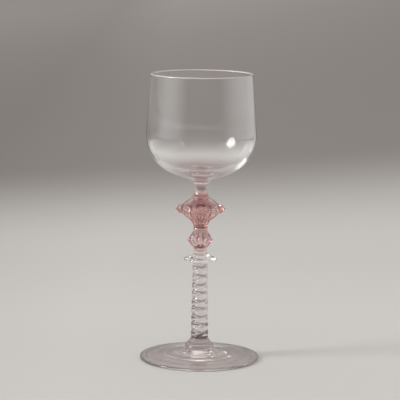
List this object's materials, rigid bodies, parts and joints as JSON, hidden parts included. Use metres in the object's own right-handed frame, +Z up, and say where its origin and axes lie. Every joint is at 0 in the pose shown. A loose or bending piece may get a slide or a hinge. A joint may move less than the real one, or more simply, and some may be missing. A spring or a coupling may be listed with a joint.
{
  "type": "goblet",
  "caption": "Stemmed drinking goblet of blown glass: deep bowl on a spool, pink knops with raspberry prunts, a solid twisted column with a wide disc, and a round spreading foot.",
  "frame": {"origin": "middle of the foot on the surface that the goblet stands on", "axes": "+Z up along the axis of the stem; +X through the first prunt; the goblet looks alike from every side"},
  "size_m": [0.075, 0.075, 0.18],
  "materials": {
    "clear_glass": "polished",
    "pink_glass": "polished",
    "prunt_glass": "polished"
  },
  "bodies": {
    "root": {"foot": "clear_glass", "foot_ring": "clear_glass", "stem_cone": "clear_glass", "twisted_stem": "clear_glass", "stem_merese": "clear_glass", "merese_ring": "clear_glass", "lower_knop": "pink_glass", "waist_ring": "pink_glass", "upper_knop": "pink_glass", "shoulder_prunt_1": "prunt_glass", "shoulder_prunt_2": "prunt_glass", "shoulder_prunt_3": "prunt_glass", "shoulder_prunt_4": "prunt_glass", "shoulder_prunt_5": "prunt_glass", "shoulder_prunt_6": "prunt_glass", "shoulder_prunt_7": "prunt_glass", "shoulder_prunt_8": "prunt_glass", "neck_ring": "pink_glass", "neck_spool": "clear_glass", "bowl_merese": "clear_glass", "bowl": "clear_glass"}
  },
  "joints": []
}
